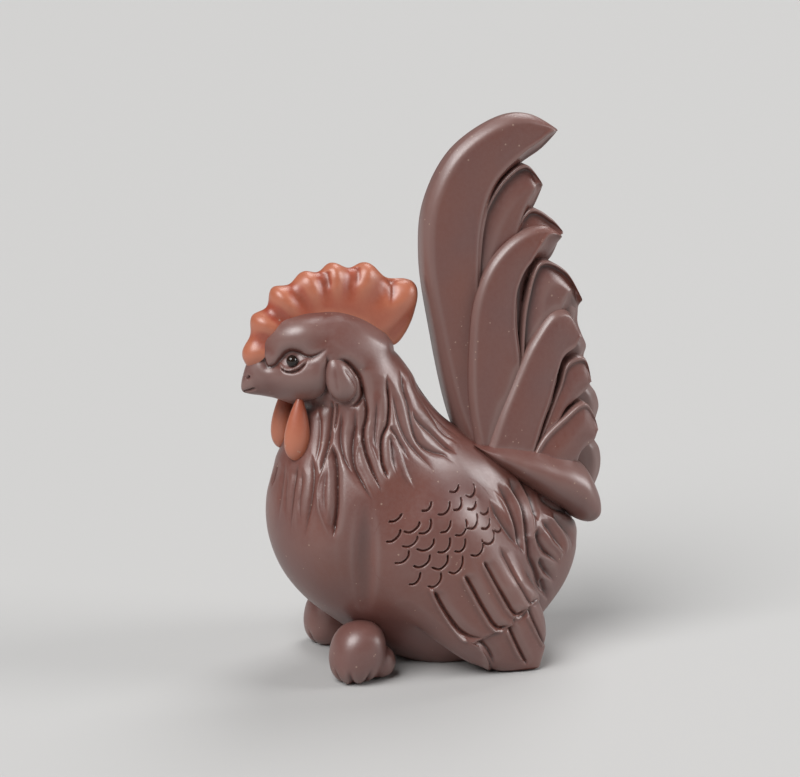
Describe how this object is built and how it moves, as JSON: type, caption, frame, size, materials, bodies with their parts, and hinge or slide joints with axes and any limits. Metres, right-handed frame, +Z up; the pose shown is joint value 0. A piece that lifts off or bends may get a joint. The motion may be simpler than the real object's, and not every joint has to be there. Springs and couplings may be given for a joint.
{
  "type": "rooster tea pet",
  "caption": "Seated clay rooster figurine for a tea tray: hollow purple-brown stoneware body, red clay comb and wattles, feathered wings and a tall fan of sickle feathers.",
  "frame": {"origin": "On the surface that the rooster stands on, under the middle of its outline", "axes": "-Y is the way the rooster faces, +X is its left side, +Z is up"},
  "size_m": [0.0324, 0.0568, 0.0828],
  "materials": {
    "purple_clay": "unglazed purple-brown stoneware, hand burnished to a satin sheen, with fine pale sand",
    "red_clay": "unglazed orange-red stoneware, burnished, slightly mottled",
    "black_glaze": "glossy black glaze bead"
  },
  "bodies": {
    "root": {"body_shell_left": "purple_clay", "body_shell_right": "purple_clay", "foot_left": "purple_clay", "foot_right": "purple_clay", "ear_lobe_left": "purple_clay", "ear_lobe_right": "purple_clay", "wing_coverts_left": "purple_clay", "wing_coverts_right": "purple_clay", "wing_primaries_left": "purple_clay", "wing_primaries_right": "purple_clay", "base_feather_left": "purple_clay", "base_feather_right": "purple_clay", "lower_feather_left": "purple_clay", "lower_feather_right": "purple_clay", "middle_feather_left": "purple_clay", "middle_feather_right": "purple_clay", "rear_feather_left": "purple_clay", "rear_feather_right": "purple_clay", "upper_feather_left": "purple_clay", "upper_feather_right": "purple_clay", "inner_feather_left": "purple_clay", "inner_feather_right": "purple_clay", "main_sickle": "purple_clay", "second_sickle": "purple_clay", "third_sickle": "purple_clay", "tail_core": "purple_clay", "comb": "red_clay", "wattle_left": "red_clay", "wattle_right": "red_clay", "eye_left": "black_glaze", "eye_right": "black_glaze"}
  },
  "joints": []
}
